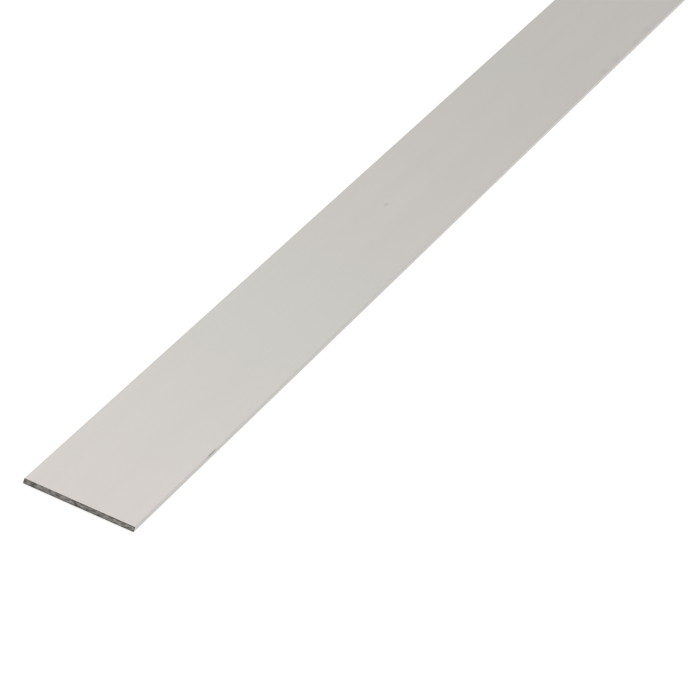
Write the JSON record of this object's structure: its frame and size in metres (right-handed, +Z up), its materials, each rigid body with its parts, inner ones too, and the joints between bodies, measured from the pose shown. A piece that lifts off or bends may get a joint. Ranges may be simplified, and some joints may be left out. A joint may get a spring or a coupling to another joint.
{
  "type": "aluminium flat bar",
  "caption": "Straight flat bar of extruded aluminium with rounded long edges and square sawn ends, stock to cut, drill and bend.",
  "frame": {"origin": "middle of the underside, so that the bar rests on Z = 0", "axes": "+X along the bar's length, +Y across its width, +Z up through its thickness"},
  "size_m": [1, 0.04, 0.002],
  "materials": {
    "anodised_aluminium": "satin natural anodised, bare grey metal on the sawn ends"
  },
  "bodies": {
    "root": {"flat_bar": "anodised_aluminium"}
  },
  "joints": []
}
